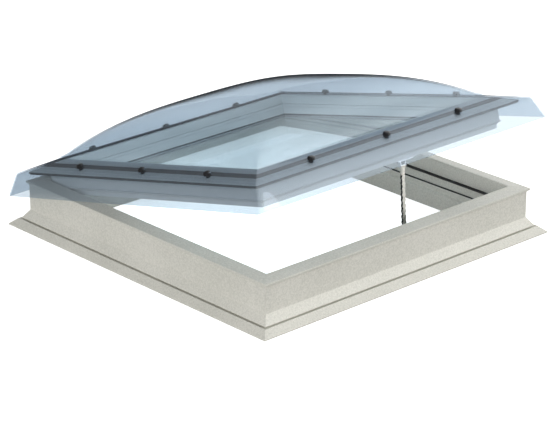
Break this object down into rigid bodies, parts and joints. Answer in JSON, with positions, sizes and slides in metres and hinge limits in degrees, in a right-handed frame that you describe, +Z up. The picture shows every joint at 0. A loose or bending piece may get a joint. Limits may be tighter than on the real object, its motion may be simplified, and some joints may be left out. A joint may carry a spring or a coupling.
{
  "type": "roof skylight",
  "caption": "Square openable flat-roof skylight with a moulded upstand, a double-glazed hinged sash under a clear dome, and a push-chain drive.",
  "frame": {"origin": "middle of the upstand's underside, at the roof's surface", "axes": "+Z up, hinges on the +Y side, the opening side and the chain drive on the -Y side, +X to the right seen from -Y"},
  "size_m": [1.224, 1.218, 0.5079],
  "materials": {
    "upstand_plastic": "satin white moulded PVC",
    "sash_plastic": "smooth white PVC",
    "seal_rubber": "matt black EPDM",
    "outer_glass": "clear float glass",
    "inner_glass": "clear laminated glass",
    "spacer_steel": "thin rolled stainless strip",
    "plated_steel": "zinc-plated pressed steel",
    "screw_steel": "bright steel",
    "dome_acrylic": "clear blown acrylic with a faint blue tint",
    "knob_plastic": "black moulded nylon",
    "housing_aluminium": "powder-coated light grey",
    "cap_plastic": "black moulded nylon",
    "motor_steel": "plated steel can",
    "gearbox_plastic": "dark moulded nylon",
    "chain_steel": "nickel-plated steel",
    "pin_steel": "blackened steel"
  },
  "bodies": {
    "upstand": {"upstand": "upstand_plastic", "upper_seal": "seal_rubber", "lower_seal": "seal_rubber", "fixed_leaf_left": "plated_steel", "fixed_leaf_right": "plated_steel", "hinge_pin_left": "screw_steel", "hinge_pin_right": "screw_steel", "fixed_leaf_screws": "screw_steel", "drive_bracket_left": "plated_steel", "drive_bracket_right": "plated_steel", "drive_bracket_screws": "screw_steel"},
    "sash": {"sash_frame": "sash_plastic", "rim_seal": "seal_rubber", "outer_glazing_seal": "seal_rubber", "outer_pane": "outer_glass", "spacer_bar": "spacer_steel", "edge_sealant": "seal_rubber", "inner_pane": "inner_glass", "inner_glazing_seal": "seal_rubber", "bead_front": "sash_plastic", "bead_back": "sash_plastic", "bead_left": "sash_plastic", "bead_right": "sash_plastic", "moving_leaf_left": "plated_steel", "moving_leaf_right": "plated_steel", "moving_leaf_screws": "screw_steel", "dome": "dome_acrylic", "dome_seal": "seal_rubber", "knob_sleeves": "knob_plastic", "knob_screws": "screw_steel", "knob_caps": "knob_plastic", "chain_bracket": "plated_steel", "chain_bracket_pin": "screw_steel", "chain_bracket_screws": "screw_steel"},
    "drive": {"drive_housing": "housing_aluminium", "drive_end_cap_left": "cap_plastic", "drive_end_cap_right": "cap_plastic", "drive_end_cap_screws": "screw_steel", "drive_motor": "motor_steel", "drive_gearbox": "gearbox_plastic", "chain_guide": "cap_plastic"},
    "chain": {"chain_end": "chain_steel", "chain_outer_plates": "chain_steel", "chain_inner_plates": "chain_steel", "chain_pins": "pin_steel"}
  },
  "joints": [
    {"name": "sash_hinge", "type": "hinge", "parent": "upstand", "child": "sash", "pos_m": [0, 0.51, 0.14], "axis": [-1, 0, 0], "range_deg": [-13.5, 0]},
    {"name": "drive_swivel", "type": "hinge", "parent": "upstand", "child": "drive", "pos_m": [0.09, -0.478, 0.0875], "axis": [-1, 0, 0], "range_deg": [-6.76, 0]},
    {"name": "chain_slide", "type": "slide", "parent": "drive", "child": "chain", "axis": [0, 0.0647, 0.9979], "range_m": [-0.2327, 0], "deforming": ["chain_outer_plates", "chain_inner_plates", "chain_pins"]}
  ],
  "couplings": [
    {"joint": "drive_swivel", "follows": "sash_hinge", "ratio": 0.5},
    {"joint": "chain_slide", "follows": "sash_hinge", "m_per_rad": 0.98711}
  ]
}
